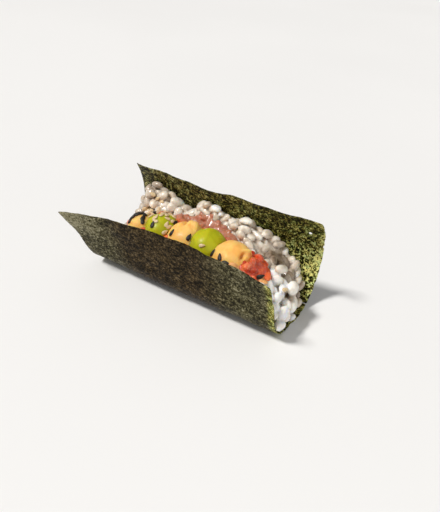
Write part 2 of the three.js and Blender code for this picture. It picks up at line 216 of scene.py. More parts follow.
def along(values, t):
    """A value given at the left end, middle and right end, read at t from 0 to 1."""
    left, middle, right = values
    return left * (1 - t) * (1 - 2 * t) + 4 * middle * t * (1 - t) + right * t * (2 * t - 1)


def smoothstep(x, low, high):
    k = np.clip((x - low) / (high - low), 0, 1)
    return k * k * (3 - 2 * k)


def unit(vectors):
    return vectors / np.maximum(np.linalg.norm(vectors, axis=-1, keepdims=True), 1e-12)


def noise(points, size, seed):
    """Smooth noise from -1 to 1 at points (n, 3), with features about size across."""
    scaled = np.asarray(points, float) / size + 31.7 * seed
    cell = np.floor(scaled)
    part = scaled - cell
    part = part * part * (3 - 2 * part)
    total = 0
    for corner in itertools.product((0, 1), repeat=3):
        lattice = np.sin((cell + corner) @ (127.1, 311.7, 74.7)) * 43758.5453
        weight = np.prod(np.where(corner, part, 1 - part), axis=-1)
        total = total + weight * (lattice - np.floor(lattice))
    return 2 * total - 1


def summed_noise(points, waves):
    """Noises of several (height, size, seed), added up."""
    return sum(height * noise(points, size, seed) for height, size, seed in waves)


# ---------------- the trough's form


def trough(t, s):
    """The sheet's outer face at t along the roll and girth s: its points and inward normals."""
    side = np.where(s < 0, -1.0, 1.0)
    front = along(FRONT_GIRTH, t)
    reach = np.where(s < 0, front, SHEET_GIRTH - front)
    lean, curl = (
        np.where(s < 0, along(FRONT_FLAP[key], t), along(REAR_FLAP[key], t)) for key in ("lean", "curl")
    )
    turn = np.radians(90 - lean)
    bend = BEND_RADIUS * turn
    left = np.abs(s)
    angle = y = z = np.zeros_like(left)
    for length, turned in ((FLAT_HALF, 0), (bend, turn), (reach - FLAT_HALF - bend, np.radians(curl))):
        run = np.clip(left, 0, length)
        arc = turned * run / length
        chord = run * np.sinc(arc / (2 * np.pi))
        y = y + chord * np.cos(angle + arc / 2)
        z = z + chord * np.sin(angle + arc / 2)
        angle = angle + arc
        left = left - run
    waves = (share * np.sin(2 * np.pi * turns * t + climb * s + side) for share, turns, climb in RIPPLES)
    inwards = WAVE_HEIGHT * smoothstep(np.abs(s), WAVE_FROM, reach) * sum(waves)
    y = y - inwards * np.sin(angle)
    z = z + inwards * np.cos(angle)
    skew = SKEW[0] * (1 - t) + SKEW[1] * t
    x = SHEET_LENGTH * (t - 0.5) + skew * s / reach
    points = np.stack([x, along(BOTTOM_Y, t) + side * y, z], axis=-1)
    normals = np.stack([np.zeros_like(y), -side * np.sin(angle), np.cos(angle)], axis=-1)
    return points, normals


def sheet_grid(columns, rows):
    """t and girth at the corners of a grid over the sheet."""
    t, v = np.meshgrid(np.linspace(0, 1, columns + 1), np.linspace(0, 1, rows + 1), indexing="ij")
    return t, SHEET_GIRTH * v - along(FRONT_GIRTH, t)


# What the CAD moved the roll by to put the middle of its box over the origin.
OFFSET = np.array(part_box("nori_wrap")[0]) / MM - trough(*sheet_grid(*CAD_CELLS))[0].min(axis=(0, 1))


def to_metres(points):
    return (np.asarray(points) + OFFSET) * MM


def to_own(points):
    return np.asarray(points) / MM - OFFSET


# ---------------- the camera


def camera_axes():
    """The camera's right, up and back directions."""
    azimuth, elevation, roll = (math.radians(CAMERA[key]) for key in ("azimuth", "elevation", "roll"))
    level = math.cos(elevation)
    back = Vector((math.sin(azimuth) * level, -math.cos(azimuth) * level, math.sin(elevation)))
    flat_right = Vector((math.cos(azimuth), math.sin(azimuth), 0))
    turn = Matrix.Rotation(roll, 3, back)
    return turn @ flat_right, turn @ back.cross(flat_right), back


def make_camera():
    data = bpy.data.cameras.new("camera")
    data.sensor_width = 36
    data.lens = FOCAL_PIXELS * data.sensor_width / max(IMAGE)
    data.clip_start = 0.01
    camera = bpy.data.objects.new("camera", data)
    place = Matrix(camera_axes()).transposed().to_4x4()
    place.translation = Vector(to_metres(CAMERA["at"]))
    camera.matrix_world = place
    bpy.context.collection.objects.link(camera)
    bpy.context.scene.camera = camera


def struck(pixel, tree):
    """Where a pixel's line of sight meets what a search tree holds, and the normal there."""
    right, up, back = camera_axes()
    across, down = ((pixel[k] - IMAGE[k] / 2) / FOCAL_PIXELS for k in (0, 1))
    way = (right * across - up * down - back).normalized()
    return tree.ray_cast(Vector(CAMERA["at"]), way)[:2]


# ---------------- meshes


def add_mesh(name, points, faces):
    """A mesh object from points in the roll's own frame."""
    mesh = bpy.data.meshes.new(name)
    mesh.from_pydata(to_metres(points).tolist(), [], [tuple(map(int, face)) for face in faces])
    mesh.polygons.foreach_set("use_smooth", [True] * len(mesh.polygons))
    mesh.update()
    made = bpy.data.objects.new(name, mesh)
    bpy.context.collection.objects.link(made)
    return made


def add_attribute(made, name, values):
    layer = made.data.attributes.new(name, "FLOAT", "POINT")
    layer.data.foreach_set("value", np.asarray(values, np.float32))


def finish_piece(made, material, slot, *nodes):
    """Gives a piece its material and the body it rides on, and hides the CAD nodes it stands for; slot is
    not used.
    """
    made.data.materials.clear()
    made.data.materials.append(material)
    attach(made, "root")
    if nodes:
        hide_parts(*nodes)


def read(items, key, width, kind=float):
    """What the items of a mesh hold under a key, one row each."""
    values = np.empty(width * len(items), kind)
    items.foreach_get(key, values)
    return values.reshape(-1, width)


def mesh_arrays(made):
    """Points in the roll's own frame and triangles of a mesh object."""
    mesh = made.data
    mesh.calc_loop_triangles()
    return to_own(read(mesh.vertices, "co", 3)), read(mesh.loop_triangles, "vertices", 3, np.int32)


def apply_modifiers(made):
    """Puts what the modifiers make in the place of the mesh, and removes them."""
    evaluated = made.evaluated_get(bpy.context.evaluated_depsgraph_get())
    mesh = bpy.data.meshes.new_from_object(evaluated)
    made.modifiers.clear()
    made.data = mesh
    mesh.polygons.foreach_set("use_smooth", [True] * len(mesh.polygons))


def remeshed(name, points, faces, voxel, smoothing):
    """A voxel remesh of closed bodies, joined into one skin and smoothed."""
    made = add_mesh(name, points, faces)
    remesh = made.modifiers.new("remesh", "REMESH")
    remesh.mode = "VOXEL"
    remesh.voxel_size = voxel * MM
    smooth = made.modifiers.new("smooth", "SMOOTH")
    smooth.factor = 0.5
    smooth.iterations = smoothing
    apply_modifiers(made)
    return made


def tree_of(*objects):
    """A search tree over meshes, in the roll's own frame."""
    points, faces, start = [], [], 0
    for made in objects:
        own_points, own_faces = mesh_arrays(made)
        points.append(own_points)
        faces.append(own_faces + start)
        start += len(own_points)
    return BVHTree.FromPolygons(np.concatenate(points).tolist(), np.concatenate(faces).tolist())


def scattered(points, faces, count):
    """Points spread by area over a triangle mesh, with the normals there."""
    corners = points[faces]
    cross = np.cross(corners[:, 1] - corners[:, 0], corners[:, 2] - corners[:, 0])
    area = np.linalg.norm(cross, axis=1)
    pick = rng.choice(len(faces), size=count, p=area / area.sum())
    a, b = rng.random((2, count))
    flip = a + b > 1
    a, b = np.where(flip, 1 - a, a), np.where(flip, 1 - b, b)
    weights = np.stack([1 - a - b, a, b], axis=1)
    return (corners[pick] * weights[:, :, None]).sum(axis=1), unit(cross[pick])


def spaced(points, spacing, most):
    """Indices of points that keep a distance from each other, in order."""
    kept, places = [], []
    for index, point in enumerate(points):
        if places and np.min(np.linalg.norm(np.array(places) - point, axis=1)) < spacing:
            continue
        kept.append(index)
        places.append(point)
        if len(kept) == most:
            break
    return kept


def round_shape(segments, rings):
    """Points of a unit sphere with its poles on X, and its faces."""
    turn, rise = np.meshgrid(
        np.arange(segments) * 2 * np.pi / segments, np.linspace(0, np.pi, rings + 1)[1:-1], indexing="ij"
    )
    body = np.stack([np.cos(rise), np.sin(rise) * np.cos(turn), np.sin(rise) * np.sin(turn)], axis=-1)
    points = np.concatenate([body.reshape(-1, 3), [[1, 0, 0], [-1, 0, 0]]])
    row = rings - 1
    first, last = segments * row, segments * row + 1
    faces = []
    for i in range(segments):
        j = (i + 1) % segments
        for k in range(row - 1):
            faces.append((i * row + k, i * row + k + 1, j * row + k + 1, j * row + k))
        faces.append((first, i * row, j * row))
        faces.append((j * row + row - 1, i * row + row - 1, last))
    return points, faces


def joined(shapes):
    """Points and faces of several shapes as one."""
    points, faces, start = [], [], 0
    for own_points, own_faces in shapes:
        points.append(own_points)
        faces.extend(tuple(index + start for index in face) for face in own_faces)
        start += len(own_points)
    return np.concatenate(points), faces


# ---------------- material nodes


def set_stops(ramp, stops):
    """Gives a colour ramp its (position, colour) stops."""
    while len(ramp.elements) < len(stops):
        ramp.elements.new(0.5)
    for element, (position, colour) in zip(ramp.elements, stops):
        element.position = position
        element.color = (*colour, 1)


class Finish:
    """A material around one Principled shader, with one call for each node."""

    def __init__(self, name, **constants):
        self.material = bpy.data.materials.new(name)
        self.material.use_nodes = True
        self.tree = self.material.node_tree
        self.shader = self.tree.nodes["Principled BSDF"]
        for socket, value in constants.items():
            self.shader.inputs[socket.replace("_", " ")].default_value = value

    def add(self, kind, inputs, **settings):
        made = self.tree.nodes.new("ShaderNode" + kind)
        for key, value in settings.items():
            setattr(made, key, value)
        for key, value in inputs.items():
            self.feed(made.inputs[key], value)
        return made

    def feed(self, socket, value):
        if isinstance(value, bpy.types.NodeSocket):
            self.tree.links.new(value, socket)
        else:
            socket.default_value = value

    def set(self, socket, value):
        self.feed(self.shader.inputs[socket], value)

    def place(self, stretch=(1, 1, 1)):
        """The point in the object, stretched."""
        point = self.add("TexCoord", {}).outputs["Object"]
        return self.add("Mapping", {"Vector": point, "Scale": stretch}).outputs["Vector"]

    def noise(self, size, detail=3.0, roughness=0.5, distortion=0.0, vector=None):
        """Noise from 0 to 1, with features about size millimetres across."""
        inputs = {"Vector": vector or self.place(), "Scale": 1 / (size * MM), "Detail": detail}
        inputs |= {"Roughness": roughness, "Distortion": distortion}
        return self.add("TexNoise", inputs).outputs["Fac"]

    def value(self, name):
        """What the piece's own attribute of that name says at each point."""
        return self.add("Attribute", {}, attribute_name=name).outputs["Fac"]

    def math(self, operation, a, b):
        return self.add("Math", {0: a, 1: b}, operation=operation).outputs[0]

    def weighted(self, *parts):
        """The sum of some values, each times its weight."""
        total = None
        for value, weight in parts:
            part = self.math("MULTIPLY", value, weight)
            total = part if total is None else self.math("ADD", total, part)
        return total

    def remap(self, value, low, high, to_low=0.0, to_high=1.0):
        inputs = {"Value": value, "From Min": low, "From Max": high, "To Min": to_low, "To Max": to_high}
        return self.add("MapRange", inputs).outputs["Result"]

    def ramp(self, value, *stops):
        """A colour for a value, from (position, colour) stops."""
        made = self.add("ValToRGB", {"Fac": value})
        set_stops(made.color_ramp, stops)
        return made.outputs["Color"]

    def mix(self, share, a, b):
        """Colour a where the share is 0, and b where it is 1."""
        made = self.add("Mix", {}, data_type="RGBA")
        self.feed(made.inputs["Factor"], share)
        for key, value in (("A", a), ("B", b)):
            socket = next(s for s in made.inputs if s.name == key and s.type == "RGBA")
            self.feed(socket, (*value, 1) if isinstance(value, tuple) else value)
        return next(s for s in made.outputs if s.type == "RGBA")

    def bump(self, height, distance, strength):
        inputs = {"Height": height, "Distance": distance * MM, "Strength": strength}
        return self.add("Bump", inputs).outputs["Normal"]


def nori_finish():
    """Toasted seaweed: dark fronds pressed together, thin and green in flecks on its inner face."""
    finish = Finish("nori", Specular_IOR_Level=0.05)
    blotches = finish.noise(4.6, 2, 0.5, 0.4)
    fronds = finish.noise(1.45, 3, 0.65, 0.35)
    fibres = finish.noise(0.55, 3, 0.65, 0.5, finish.place((1, 0.6, 0.6)))
    grit = finish.noise(0.85, 3, 0.65, 0.3)
    threads = finish.noise(0.42, 3, 0.6, 0.6, finish.place((0.45, 1, 1)))
    # the light attribute carries painted sheen, painted light and painted shade besides the lighter torn
    # edge
    light = finish.math("MULTIPLY", finish.value("light"), 0.1)
    rough = finish.weighted((fronds, 0.36), (grit, 0.34), (fibres, 0.25), (blotches, 0.13), (0.5, -0.08))
    # flecks stand out more where painted light falls, low on the rear flap's right
    gain = finish.math("ADD", finish.value("fleck_gain_and_painted_light"), 1.0)
    rough = finish.math("ADD", finish.math("MULTIPLY", finish.math("SUBTRACT", rough, 0.5), gain), 0.5)
    shade = finish.math("ADD", rough, light)
    dull, olive, lime = (finish.ramp(shade, *zip(NORI_STOPS, colours)) for colours in NORI_INSIDE)
    tint = finish.noise(2.1, 2, 0.6)
    green = finish.mix(finish.remap(tint, 0.45, 0.61), olive, lime)
    inside = finish.mix(finish.value("green"), dull, green)
    fine = finish.weighted((grit, 0.55), (fronds, 0.4), (threads, 0.35), (blotches, 0.2), (0.5, -0.5))
    grain = finish.math("ADD", fine, light)
    grey = finish.ramp(
        grain,
        (0.42, (0.012, 0.010, 0.004)), (0.48, (0.038, 0.033, 0.014)), (0.53, (0.085, 0.075, 0.034)),
        (0.58, (0.155, 0.14, 0.072)), (0.66, (0.36, 0.33, 0.21)),
    )
    # painted shade: dark brown colours for the middle of the front flap's outer face
    painted_brown_shade = finish.ramp(
        grain,
        (0.42, (0.003, 0.002, 0.001)), (0.49, (0.016, 0.008, 0.003)),
        (0.55, (0.040, 0.021, 0.007)), (0.64, (0.11, 0.060, 0.020)),
    )
    outside = finish.mix(finish.value("painted_brown_shade"), grey, painted_brown_shade)
    outside = finish.mix(finish.value("edge"), outside, green)
    finish.set("Base Color", finish.mix(finish.value("inner"), outside, inside))
    gritty = finish.weighted((grit, 0.6), (threads, 0.4))
    frondy = finish.weighted((fronds, 0.9), (fibres, 0.5))
    height = finish.mix(finish.value("inner"), gritty, frondy)
    finish.set("Normal", finish.bump(height, 0.5, 0.9))
    finish.set("Roughness", finish.remap(fronds, 0.35, 0.65, 0.6, 0.38))
    return finish.material


def rice_finish():
    """Cooked rice: milky and moist, with a tone for each grain, partly painted light and shade, and painted
    brownish shade between grains.
    """
    finish = Finish(
        "rice", Roughness=0.38, Specular_IOR_Level=0.4, Coat_Weight=0.7, Coat_Roughness=0.12,
        Subsurface_Weight=1.0, Subsurface_Scale=2.1 * MM, Subsurface_Radius=(1.0, 0.86, 0.7),
    )
    tone = finish.value("tone")
    clear = finish.ramp(
        tone,
        (0.0, (0.15, 0.10, 0.065)), (0.4, (0.52, 0.42, 0.32)),
        (0.75, (0.74, 0.66, 0.56)), (1.0, (0.84, 0.84, 0.81)),
    )
    milky = finish.ramp(
        tone,
        (0.0, (0.34, 0.26, 0.19)), (0.4, (0.82, 0.74, 0.63)),
        (0.75, (0.97, 0.93, 0.86)), (1.0, (0.99, 0.99, 0.97)),
    )
    cloud = finish.noise(3.0, 2, 0.5, 0.3)
    grain = finish.mix(finish.remap(cloud, 0.30, 0.60), clear, milky)
    # painted shade: brownish colours laid in the crevices between grains
    between = finish.ramp(
        tone, (0.0, (0.11, 0.07, 0.045)), (0.7, (0.62, 0.49, 0.37)), (1.0, (0.74, 0.71, 0.64))
    )
    finish.set("Base Color", finish.mix(finish.value("deep"), grain, between))
    skin = finish.weighted((finish.noise(1.3, 2, 0.5), 1.0), (finish.noise(0.45, 3, 0.6), 0.45))
    finish.set("Normal", finish.bump(skin, 0.32, 0.7))
    return finish.material


def tuna_finish():
    """Chopped raw tuna: wet and half clear, from crimson to orange, with a tone for each piece."""
    finish = Finish(
        "tuna", Roughness=0.4, Specular_IOR_Level=0.3, Coat_Weight=0.45, Coat_Roughness=0.1,
        Subsurface_Weight=0.7, Subsurface_Scale=1.6 * MM, Subsurface_Radius=(1.0, 0.30, 0.14),
    )
    fat = finish.noise(0.9, 3, 0.6, 1.4)
    cloud = finish.noise(2.6, 2, 0.5)
    tone = finish.weighted((finish.value("tone"), 1.0), (cloud, 1.2), (0.5, -1.2))
    flesh = finish.ramp(
        tone, (0.0, (0.42, 0.030, 0.010)), (0.5, (0.74, 0.085, 0.020)), (1.0, (0.90, 0.21, 0.045))
    )
    streaked = finish.mix(finish.remap(fat, 0.54, 0.68, 0.0, 0.45), flesh, (0.86, 0.42, 0.26))
    pale = finish.mix(finish.remap(fat, 0.48, 0.62, 0.0, 0.8), (0.43, 0.17, 0.095), (0.48, 0.28, 0.20))
    finish.set("Base Color", finish.mix(finish.value("pale"), streaked, pale))
    finish.set("Normal", finish.bump(finish.noise(0.7, 3, 0.6), 0.12, 0.6))
    return finish.material


def cream_finish(name, deep, light, roughness, sheen):
    """A smooth emulsion in soft clouds from deep to light, with painted shade darkening its folds."""
    finish = Finish(
        name, Roughness=roughness, Specular_IOR_Level=0.25, Coat_Weight=sheen, Coat_Roughness=0.15,
        Subsurface_Weight=0.7, Subsurface_Scale=4.0 * MM, Subsurface_Radius=(1.0, 0.6, 0.25),
    )
    cloud = finish.noise(4.0, 2, 0.5, 0.8)
    cream = finish.ramp(cloud, (0.34, deep), (0.60, light))
    # painted shade: the cream darkened in its folds
    folded = tuple(0.78 * part for part in deep)
    finish.set("Base Color", finish.mix(finish.value("painted_fold_shade"), cream, folded))
    flow = finish.noise(1.1, 3, 0.55, 0.6, finish.place((0.3, 1.0, 0.6)))
    finish.set("Normal", finish.bump(flow, 0.16, 0.6))
    return finish.material


def drop_finish():
    """The chilli mayonnaise where it is too small a drop for light to wander in it."""
    finish = Finish("chilli_drops", Roughness=0.45, Specular_IOR_Level=0.35)
    cloud = finish.noise(1.2, 2)
    finish.set("Base Color", finish.ramp(cloud, (0.4, (0.78, 0.36, 0.12)), (0.6, (0.86, 0.46, 0.18))))
    return finish.material


def seed_finish(name, dark, light, roughness):
    """A dry seed, speckled and finely rough."""
    finish = Finish(name, Roughness=roughness, Specular_IOR_Level=0.4)
    speckle = finish.noise(0.7, 3, 0.6)
    finish.set("Base Color", finish.ramp(speckle, (0.35, dark), (0.65, light)))
    finish.set("Normal", finish.bump(finish.noise(0.35, 3, 0.6), 0.08, 0.8))
    return finish.material


# ---------------- the nori sheet


def ragged(positions, seed, depth):
    """How far a cut edge is worn back, by the position along it."""
    at = np.stack([positions, np.zeros_like(positions), np.zeros_like(positions)], axis=-1)
    fine = np.abs(noise(at, 1.1, seed)) * 0.35 + np.maximum(noise(at, 4.5, seed + 1), 0) * 0.9
    return depth * (fine + 0.5 * np.maximum(noise(at, 2.0, seed + 2) - 0.35, 0))


def make_nori(material):
    """The sheet with its worn cuts, crinkles and pinhole. Returns a search tree of its inner face."""
    t, s = sheet_grid(*SHEET_CELLS)
    v = (s + along(FRONT_GIRTH, t)) / SHEET_GIRTH
    left, right = (ragged(s, *CUT_WEAR[edge]) / SHEET_LENGTH for edge in ("left", "right"))
    low, high = (ragged(SHEET_LENGTH * t, *CUT_WEAR[edge]) / SHEET_GIRTH for edge in ("front", "rear"))
    t = left + t * (1 - left - right)
    s = SHEET_GIRTH * (low + v * (1 - low - high)) - along(FRONT_GIRTH, t)
    points, inwards = trough(t, s)
    flat = np.stack([SHEET_LENGTH * t, s, np.zeros_like(t)], axis=-1)
    free = smoothstep(np.abs(s), 6, 16)
    crinkle = summed_noise(flat, CRINKLES)
    points = points + inwards * (crinkle * free)[..., None]
    outer = points + inwards * SHEET_FACES[0]
    inner = points + inwards * SHEET_FACES[1]

    corner = np.arange(t.size).reshape(t.shape)
    corners = [corner[:-1, :-1], corner[1:, :-1], corner[1:, 1:], corner[:-1, 1:]]
    quads = np.stack(corners, axis=-1).reshape(-1, 4)
    middle = inner.reshape(-1, 3)
    wall = BVHTree.FromPolygons(middle.tolist(), quads.tolist())
    hole = np.array(struck(PINHOLE["pixel"], wall)[0])
    away = np.linalg.norm(middle[quads].mean(axis=1) - hole, axis=1)
    punched = away < PINHOLE["radius"]
    rim = np.intersect1d(quads[punched], quads[~punched])
    quads = quads[~punched]
    for face in (inner, outer):
        flat_face = face.reshape(-1, 3)
        centre = hole + flat_face[rim].mean(axis=0) - middle[rim].mean(axis=0)
        flat_face[rim] = centre + PINHOLE["radius"] * unit(flat_face[rim] - centre)
    quads = quads[~worn_through(t.ravel()[quads[:, 0]], s.ravel()[quads[:, 0]])]
    made = add_mesh("nori_sheet", *thickened(middle, outer.reshape(-1, 3), quads))

    used = np.unique(quads)
    lookup = np.tile(used, 2)
    tint_nori(made, t.ravel()[lookup], s.ravel()[lookup], np.repeat([1.0, 0.0], len(used)))
    finish_piece(made, material, "nori", "nori_wrap")
    return wall


def worn_through(t, s):
    """Where the sheet is torn away in crumbs, along its right edge."""
    margin = SHEET_LENGTH * (1 - t)
    at = np.stack([margin, s, np.zeros_like(s)], axis=-1)
    torn = noise(at, 1.3, 31) + 0.5 * noise(at, 0.7, 32)
    share = np.where(s > 10, 0.55, 0.25) * smoothstep(-margin, -TORN_MARGIN, 0)
    return (torn > 1.05 - share) & (margin < TORN_MARGIN)


def thickened(inner, outer, quads):
    """A closed skin over two faces of one grid and the rim between them, unused points dropped."""
    used, packed = np.unique(quads, return_inverse=True)
    quads = packed.reshape(-1, 4)
    count = len(used)
    edges = np.concatenate([quads[:, [k, (k + 1) % 4]] for k in range(4)])
    keys = {tuple(edge) for edge in edges.tolist()}
    rim = [(a, b) for a, b in keys if (b, a) not in keys]
    faces = quads.tolist() + (quads[:, ::-1] + count).tolist()
    faces += [(b, a, a + count, b + count) for a, b in sorted(rim)]
    return np.concatenate([inner[used], outer[used]]), np.array(faces)


def tint_nori(made, t, s, inner):
    """Where the sheet is lighter, greener, browner and more flecked, partly as painted light and shade;
    inner is 1 on its inner face.
    """
    rear = smoothstep(s, 6, 24) * inner
    front = smoothstep(-s, 6, 24) * (1 - inner)
    # painted sheen: tip lightens the front flap's outer face at its left end
    tip = smoothstep(-t, -0.30, -0.12) * smoothstep(-s, 22, 42) * (1 - inner)
    # painted shade: belly darkens the middle of the front flap's outer face to brown
    belly = smoothstep(t, 0.14, 0.30) * smoothstep(-t, -0.84, -0.62) * smoothstep(-s, -8, 10) * (1 - inner)
    right = smoothstep(t, 0.955, 0.985)
    # painted light: the rear flap's inner face is lit up low at its right end
    painted_light_low_right = smoothstep(t, 0.70, 1.0) * smoothstep(-s, -56, -24) * rear
    # painted sheen: corner lightens the front flap's outer face at its far left corner
    corner = smoothstep(-t, -0.20, -0.03) * smoothstep(-s, 30, 44) * (1 - inner)
    # light: painted sheen at the front tip and corner, painted light low at the rear flap's right, and a
    # lighter inner face and torn right edge
    light = 0.05 * front + 0.45 * tip + 0.8 * corner + 0.22 * rear + 0.42 * painted_light_low_right
    # the last term is painted shade, darker low on the rear flap's inner face along the rice
    light += (0.75 - 0.25 * inner) * right - 0.25 * rear * smoothstep(-s, -30, -16)
    add_attribute(made, "light", light)
    add_attribute(made, "inner", inner)
    add_attribute(made, "green", np.clip(0.35 + (0.3 + 0.4 * t) * rear + 0.6 * right, 0, 1))
    # flecks gain contrast where that painted light falls, and a little over the whole rear flap
    add_attribute(made, "fleck_gain_and_painted_light", 1.1 * painted_light_low_right + 0.3 * rear)
    add_attribute(made, "edge", right)
    # painted brown shade across the front flap's middle
    add_attribute(made, "painted_brown_shade", 0.8 * belly)


# ---------------- the rice


def grain_shapes():
    """Boiled grains: blunt, a little bent and flattened, uneven, and thinner towards one end."""
    sphere, faces = round_shape(10, 7)
    x, y, z = sphere.T
    shapes = []
    for index in range(GRAIN_KINDS):
        bend, taper, dent = rng.uniform(-0.12, 0.12), rng.uniform(0.0, 0.18), rng.uniform(0.0, 0.15)
        blunt = np.sign(x) * np.abs(x) ** rng.uniform(0.8, 1.0)
        width = 1 - taper * x + 0.1 * noise(sphere, 0.9, 40 + index)
        notch = 1 - dent * np.exp(-(((x - 0.7) / 0.3) ** 2)) * (y > 0)
        broad = y * width * notch + bend * (x * x - 0.4)
        thick = z * width * (1 - 0.15 * (y > 0))
        shapes.append(np.stack([blunt, broad, thick], axis=1) * GRAIN_HALF)
    return shapes, faces


def grain_axes(normals):
    """Long, wide and thin directions of grains that lie on a surface, tilted a little."""
    side = unit(np.cross(normals, rng.normal(size=normals.shape)))
    tilt = rng.normal(0, 0.32, size=(len(normals), 1))
    long = unit(side + tilt * normals)
    wide = unit(np.cross(normals, long))
    roll = rng.normal(0, 0.5, size=(len(normals), 1))
    thin = np.cross(long, wide)
    wide = unit(wide * np.cos(roll) + thin * np.sin(roll))
    return long, wide, np.cross(long, wide)


def wall_lack(point, wall, room):
    """How much a point lacks to so much room inside the nori, and the way inwards."""
    near, normal, _, _ = wall.find_nearest(Vector(point))
    return room - (Vector(point) - near).dot(normal), np.array(normal)


def wall_push(balls, wall):
    """What moves each ball off the inner face of the nori, whichever side it is on."""
    push = np.zeros_like(balls)
    for index, point in enumerate(balls):
        short, inwards = wall_lack(point, wall, WALL_ROOM)
        if short > 0:
            push[index] = inwards * short
    return push


def settle(middles, longs, wall, rounds=20, last_rounds=8):
    """Pushes grains, each taken as three balls, off each other and then off the wall alone.

    Returns their middles, their long directions and which of them are clear of the wall.
    """
    reach = np.array([-GRAIN_REACH, 0, GRAIN_REACH])
    count = len(middles)
    owner = np.repeat(np.arange(count), 3)
    radius = np.repeat(BALL * plumpness(middles) ** 2, 3)
    batch = SETTLE["batch"]
    for step in range(rounds + last_rounds):
        balls = (middles[:, None] + longs[:, None] * reach[None, :, None]).reshape(-1, 3)
        push = wall_push(balls, wall)
        for start in range(0, len(balls) if step < rounds else 0, batch):
            some = slice(start, start + batch)
            gap = balls[some, None] - balls[None]
            distance = np.linalg.norm(gap, axis=2)
            depth = np.clip(radius[some, None] + radius[None] - distance, 0, None)
            depth[owner[some, None] == owner[None]] = 0
            push[some] += (gap / np.maximum(distance, 1e-6)[..., None] * depth[..., None]).sum(axis=1)
        moved = push.reshape(count, 3, 3)
        middles = middles + SETTLE["move"] * moved.sum(axis=1)
        longs = unit(longs + SETTLE["turn"] * (moved[:, 2] - moved[:, 0]))
    balls = (middles[:, None] + longs[:, None] * reach[None, :, None]).reshape(-1, 3)
    lacking = np.linalg.norm(wall_push(balls, wall), axis=1).reshape(count, 3).max(axis=1)
    return middles, longs, lacking < SETTLE["lack"]


def is_covered(point, toppings):
    """Whether the tuna or a dollop lies over a point of the rice."""
    start = Vector(point) - Vector((0, 0, 1.5))
    return toppings.ray_cast(start, Vector((0, 0, 1)), TOPPING_REACH)[0] is not None


def make_rice(material, wall, toppings):
    """The heap: its own core, sunk a little, and grains that settle on it, melted into one skin."""
    points, faces = mesh_arrays(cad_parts["rice"])
    core = remeshed("rice_core", points, faces, *CORE_REMESH)
    skin_points, skin_faces = mesh_arrays(core)
    sink = 0.5 + drawn_in(skin_points, CORE_SINK) + 0.35 * noise(skin_points, 2.6, 73)
    sunk = skin_points - sink[:, None] * read(core.data.vertices, "normal", 3)
    bpy.data.objects.remove(core)
    middles, normals = [], []
    for layer in RICE_LAYERS:
        at, out = scattered(skin_points, skin_faces, RICE_TRIES)
        roomy = [wall.find_nearest(Vector(point))[3] > NORI_ROOM for point in at]
        clear = [room and not is_covered(point, toppings) for room, point in zip(roomy, at)]
        clear &= noise(at, 7, 71) > layer["patches"] + 2 * shaded_clump_weight(at) * (layer["patches"] > -1)
        at, out = at[clear], out[clear]
        kept = spaced(at / (plumpness(at) ** 2)[:, None], layer["spacing"], layer["most"])
        at, out = at[kept], out[kept]
        depth = layer["depth"] - layer["relief"] * noise(at, 5.5, 72)
        depth += drawn_in(at, GRAIN_SINK) - swell_rise(at)
        middles.append(at - depth[:, None] * out)
        normals.append(out)
    first, normals = np.concatenate(middles), np.concatenate(normals)
    long, wide, thin = grain_axes(normals)
    middles, long, held = settle(first, long, wall)
    wide = unit(np.cross(thin, long))
    thin = np.cross(long, wide)
    shapes, shape_faces = grain_shapes()
    bodies, tones = [(sunk, skin_faces.tolist())], []
    for index in np.flatnonzero(held):
        size = rng.normal(1, 0.1) * np.array([rng.uniform(0.72, 1.12), rng.normal(1, 0.1), 1])
        size *= plumpness(middles[index : index + 1])
        shape = shapes[index % len(shapes)] * size
        grain = middles[index] + shape @ np.stack([long[index], wide[index], thin[index]])
        bodies.append((grain + inward_shift(grain, wall), shape_faces))
        tones.append(grain_tone_with_painted_light(middles[index], rng.normal(0, 0.13)))
    made = remeshed("sushi_rice", *joined(bodies), *RICE_REMESH)
    thin_out(made, RICE_TRIANGLES)
    own_points, _ = mesh_arrays(made)
    # tone: each grain's own jitter, plus painted light at the near end and painted shade in the clump and
    # at the left end
    add_attribute(made, "tone", nearest_values(own_points, middles[held], long[held], tones))
    # deep is 1 in the crevices between grains, where the painted shade goes
    add_attribute(made, "deep", 1 - smoothstep(crests(made, 14), -0.30, 0.10))
    finish_piece(made, material, "rice", "rice")
    return made


def inward_shift(points, wall):
    """What moves a grain's points clear of the nori."""
    most, shift = 0, np.zeros(3)
    for point in points:
        short, inwards = wall_lack(point, wall, GRAIN_CLEARANCE)
        if short > most:
            most, shift = short, inwards * short
    return shift


def swell_rise(points):
    """How much higher than the CAD's the heap stands."""
    total = np.zeros(len(points))
    for swell in RICE_SWELLS:
        away = (points[:, :2] - swell["at"]) / swell["half"]
        total += swell["rise"] * np.exp(-(away**2).sum(axis=1))
    return total


def plumpness(points):
    """How much larger the grains are towards the near end."""
    return 1 + 0.13 * smoothstep(points[:, 0], 37, 41)


def drawn_in(points, sinks):
    """How far the heap is drawn in at its ends and in the shaded clump."""
    x, _, z = points.T
    total = sinks["clump"] * shaded_clump_weight(points)
    total += sinks["foot"] * smoothstep(x, 36, 42) * smoothstep(-z, -16, -4)
    for end, outwards in (("left", -x), ("near", x)):
        most, low, high = sinks[end]
        total += most * smoothstep(outwards, low, high)
    return total


def shaded_clump_weight(points):
    """1 in the clump of pressed rice behind the tuna, which painted shade greys, falling to 0 around it."""
    away = (points[:, :2] - SHADED_CLUMP["at"]) / SHADED_CLUMP["half"]
    return np.exp(-(away**4).sum(axis=1))


